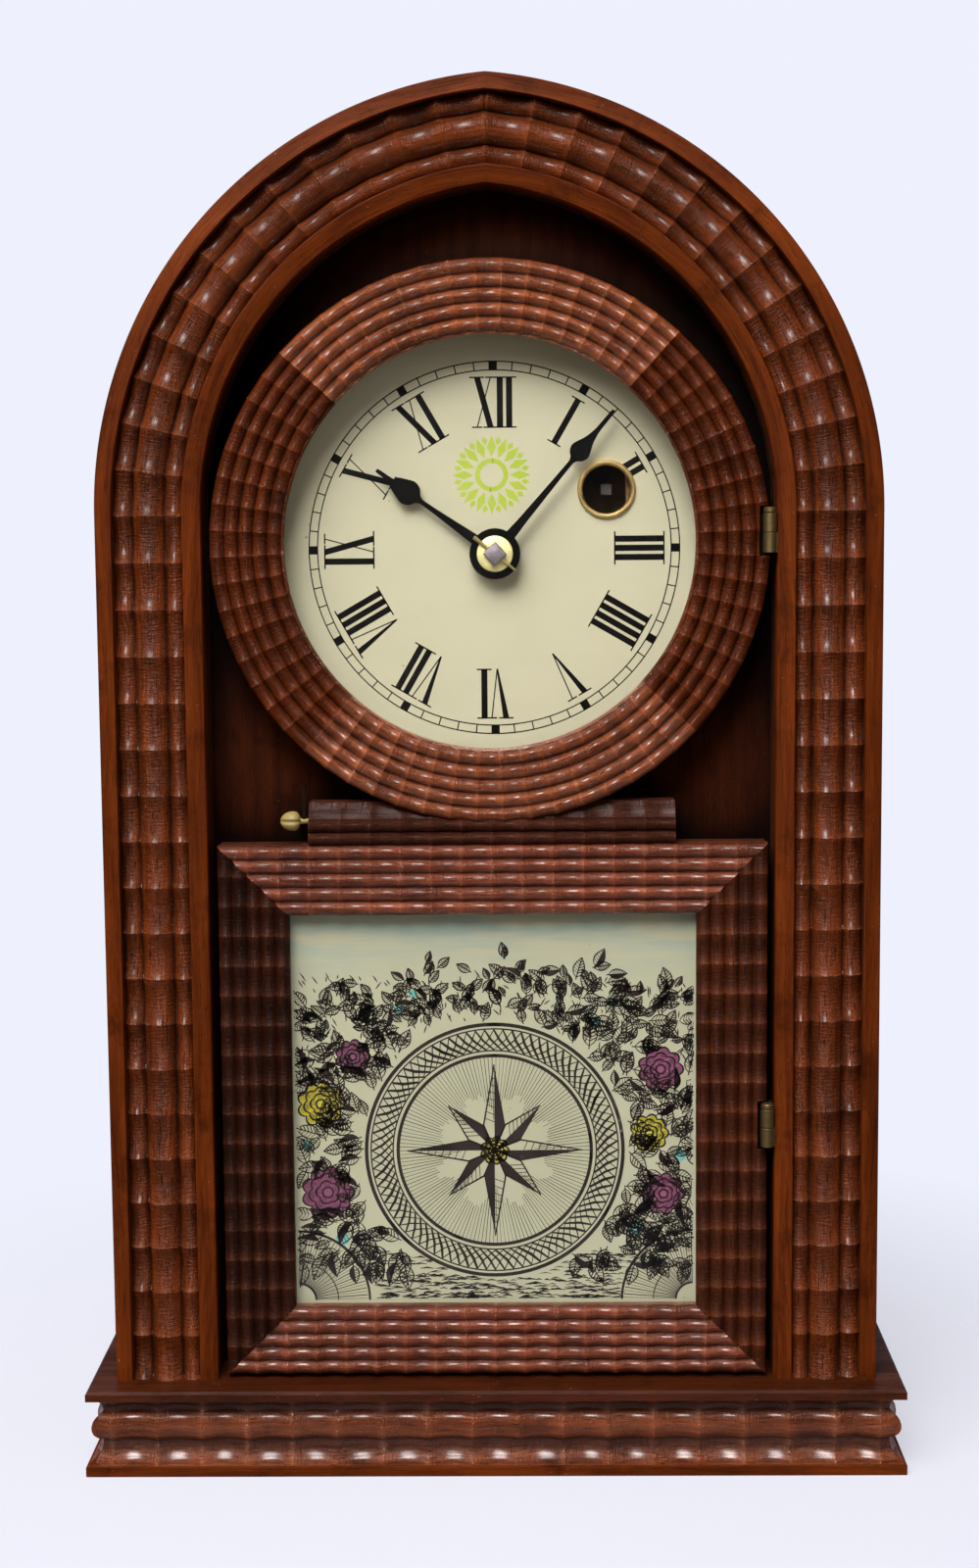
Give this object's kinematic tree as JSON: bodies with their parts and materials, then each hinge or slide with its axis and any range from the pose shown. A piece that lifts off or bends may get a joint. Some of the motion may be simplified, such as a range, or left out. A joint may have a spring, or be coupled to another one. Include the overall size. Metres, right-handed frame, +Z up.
{
  "type": "beehive shelf clock",
  "caption": "Gothic arched wooden shelf clock with rippled mouldings, a round bezel over the dial, a square glass tablet below, a hinged door, and a spring driven pendulum movement inside.",
  "frame": {"origin": "centre of the plinth footprint, on the surface that the clock stands on", "axes": "+X to the right and +Y towards the back as seen from the front, +Z up"},
  "size_m": [0.2884, 0.1054, 0.4831],
  "materials": {
    "rosewood": "shellac polish over red-brown veneer",
    "walnut_veneer": "shellac polish",
    "softwood": "bare pine, darkened",
    "brass": "dull, tarnished",
    "steel": "dull",
    "blued_steel": "blued",
    "dial_paint": "cream paint on sheet zinc",
    "tablet_paint": "printed and painted picture on the back of the glass",
    "black_paint": "black",
    "glass": "clear"
  },
  "bodies": {
    "case": {"plinth_front_moulding": "walnut_veneer", "plinth_left_moulding": "walnut_veneer", "plinth_right_moulding": "walnut_veneer", "plinth_back_rail": "softwood", "plinth_top_board": "rosewood", "case_hoop": "rosewood", "arch_frame": "softwood", "arch_moulding_left": "rosewood", "arch_moulding_right": "rosewood", "dial_board": "rosewood", "back_board": "softwood", "movement_battens": "softwood", "hinge_case_leaves": "brass", "hinge_pins": "brass", "latch_staple": "steel", "dial_plate": "dial_paint", "winding_grommet": "brass", "movement_front_plate": "brass", "movement_back_plate": "brass", "movement_pillars": "steel", "mainspring": "blued_steel", "suspension_cock": "brass"},
    "door": {"bezel_quarter_top": "rosewood", "bezel_quarter_left": "rosewood", "bezel_quarter_bottom": "rosewood", "bezel_quarter_right": "rosewood", "door_ring_core": "softwood", "neck_moulding": "rosewood", "door_top_rail": "rosewood", "door_bottom_rail": "rosewood", "door_left_stile": "rosewood", "door_right_stile": "rosewood", "door_frame_core": "softwood", "dial_glass": "glass", "dial_glass_retainer": "softwood", "tablet_glass": "glass", "tablet_picture": "tablet_paint", "tablet_strips": "softwood", "hinge_door_leaves": "brass"},
    "latch": {"latch_knob": "brass"},
    "minute": {"centre_arbor": "steel", "minute_hand": "black_paint", "hand_washer": "brass", "hand_taper_pin": "brass"},
    "minute_wheel": {"minute_wheel": "brass"},
    "hour": {"hour_wheel": "brass", "hour_hand": "black_paint"},
    "centre_wheel": {"centre_wheel": "brass"},
    "third": {"third_wheel": "brass"},
    "escape": {"escape_wheel": "brass"},
    "great": {"great_wheel": "brass", "click": "steel"},
    "winding": {"winding_arbor": "steel"},
    "verge": {"verge": "steel"},
    "pendulum": {"pendulum_rod": "steel", "pendulum_bob": "brass", "rating_nut": "brass"}
  },
  "joints": [
    {"name": "door_swing", "type": "hinge", "parent": "case", "child": "door", "pos_m": [0.0958, -0.04085, 0.2253], "axis": [0, 0, 1], "range_deg": [0, 115]},
    {"name": "latch_turn", "type": "hinge", "parent": "door", "child": "latch", "pos_m": [-0.0675, -0.03635, 0.2304], "axis": [1, 0, 0], "range_deg": [-90, 0]},
    {"name": "minute_hand_turn", "type": "hinge", "parent": "case", "child": "minute", "pos_m": [0.002, -0.01135, 0.3222], "axis": [0, 1, 0], "continuous": true},
    {"name": "minute_wheel_turn", "type": "hinge", "parent": "case", "child": "minute_wheel", "pos_m": [-0.01078, -0.01035, 0.31325], "axis": [0, 1, 0], "continuous": true},
    {"name": "hour_hand_turn", "type": "hinge", "parent": "case", "child": "hour", "pos_m": [0.002, -0.01335, 0.3222], "axis": [0, 1, 0], "continuous": true},
    {"name": "escape_wheel_turn", "type": "hinge", "parent": "case", "child": "escape", "pos_m": [0.002, 0.00365, 0.3662], "axis": [0, 1, 0], "continuous": true},
    {"name": "third_wheel_turn", "type": "hinge", "parent": "case", "child": "third", "pos_m": [-0.01031, 0.00865, 0.34784], "axis": [0, 1, 0], "continuous": true},
    {"name": "centre_wheel_turn", "type": "hinge", "parent": "case", "child": "centre_wheel", "pos_m": [0.002, 0.00865, 0.3222], "axis": [0, 1, 0], "continuous": true},
    {"name": "great_wheel_turn", "type": "hinge", "parent": "case", "child": "great", "pos_m": [0.0409, 0.01665, 0.3441], "axis": [0, 1, 0], "continuous": true},
    {"name": "winding_turn", "type": "hinge", "parent": "case", "child": "winding", "pos_m": [0.0409, -0.00135, 0.3441], "axis": [0, 1, 0], "range_deg": [0, 1800]},
    {"name": "pendulum_swing", "type": "hinge", "parent": "case", "child": "pendulum", "pos_m": [0.002, 0.03485, 0.3842], "axis": [0, 1, 0], "range_deg": [-3, 3]},
    {"name": "verge_rock", "type": "hinge", "parent": "case", "child": "verge", "pos_m": [0.002, 0.00365, 0.3842], "axis": [0, 1, 0], "range_deg": [-3, 3]}
  ],
  "couplings": [
    {"joint": "minute_wheel_turn", "follows": "minute_hand_turn", "ratio": -0.33333},
    {"joint": "hour_hand_turn", "follows": "minute_hand_turn", "ratio": 0.083333},
    {"joint": "third_wheel_turn", "follows": "escape_wheel_turn", "ratio": -0.11667},
    {"joint": "centre_wheel_turn", "follows": "escape_wheel_turn", "ratio": 0.011343},
    {"joint": "great_wheel_turn", "follows": "escape_wheel_turn", "ratio": -0.0012603},
    {"joint": "verge_rock", "follows": "pendulum_swing", "ratio": 1}
  ]
}
